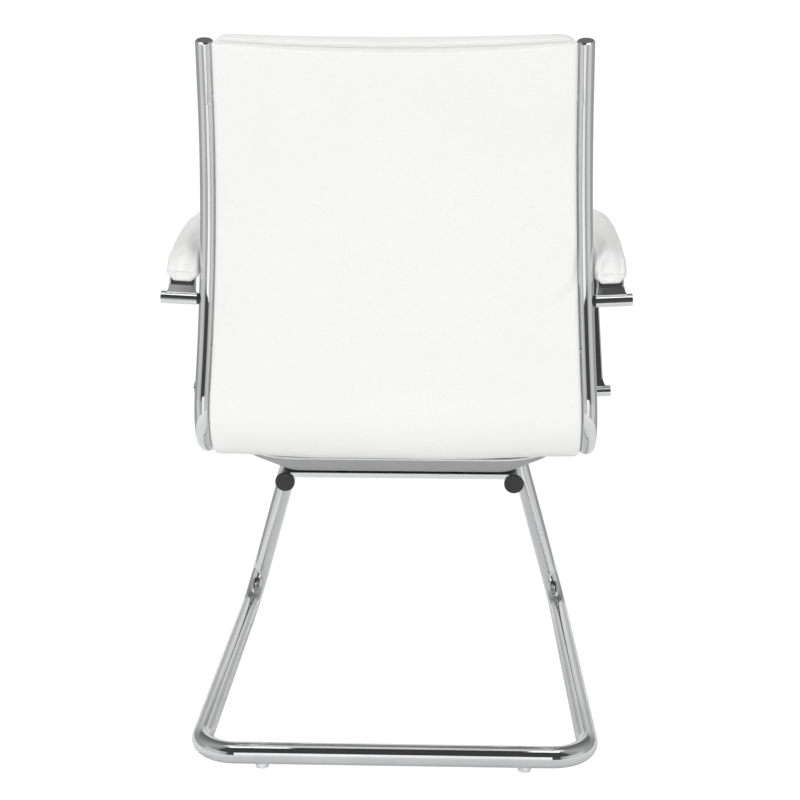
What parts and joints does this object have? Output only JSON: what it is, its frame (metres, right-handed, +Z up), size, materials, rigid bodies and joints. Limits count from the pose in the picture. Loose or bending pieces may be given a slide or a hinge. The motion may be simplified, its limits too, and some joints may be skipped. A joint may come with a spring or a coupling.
{
  "type": "visitor chair",
  "caption": "Cantilever visitor chair with a bent chrome tube base, S-bent side rails, a slim white leather seat and back, and looped flat-steel arms with padded sleeves.",
  "frame": {"origin": "on the floor, below the middle of the chair's outline", "axes": "+Z up, -Y the way the sitter faces, +X the sitter's left"},
  "size_m": [0.6148, 0.6459, 0.9232],
  "materials": {
    "chrome": "polished",
    "leather": "fine grain, satin",
    "black_plastic": "satin",
    "clear_plastic": "clear",
    "zinc_steel": "zinc plated",
    "plywood": "raw",
    "dust_cloth": "matt"
  },
  "bodies": {
    "root": {"base_frame": "chrome", "base_plug_left": "black_plastic", "base_plug_right": "black_plastic", "glide_rear_left": "clear_plastic", "glide_rear_right": "clear_plastic", "glide_front_left": "clear_plastic", "glide_front_right": "clear_plastic", "mount_plate_rear": "chrome", "mount_plate_front": "chrome", "seat_spacers": "black_plastic", "seat_washers": "zinc_steel", "seat_bolts": "zinc_steel", "seat_nuts": "zinc_steel", "seat_board": "plywood", "dust_cover": "dust_cloth", "seat_bracket_rear": "zinc_steel", "seat_bracket_front": "zinc_steel", "rail_bolts": "zinc_steel", "side_rail_left": "chrome", "side_rail_right": "chrome", "rail_cap_top_left": "chrome", "rail_cap_top_right": "chrome", "rail_cap_front_left": "chrome", "rail_cap_front_right": "chrome", "stretcher_low": "zinc_steel", "stretcher_top": "zinc_steel", "back_board": "plywood", "board_screws": "zinc_steel", "back_cushion": "leather", "seat_cushion": "leather", "back_cover": "leather", "arm_frame_left": "chrome", "arm_frame_right": "chrome", "arm_pad_left": "leather", "arm_pad_right": "leather", "arm_saddles": "black_plastic", "arm_bolts": "zinc_steel", "sleeve_nuts": "zinc_steel", "arm_caps": "chrome"}
  },
  "joints": []
}
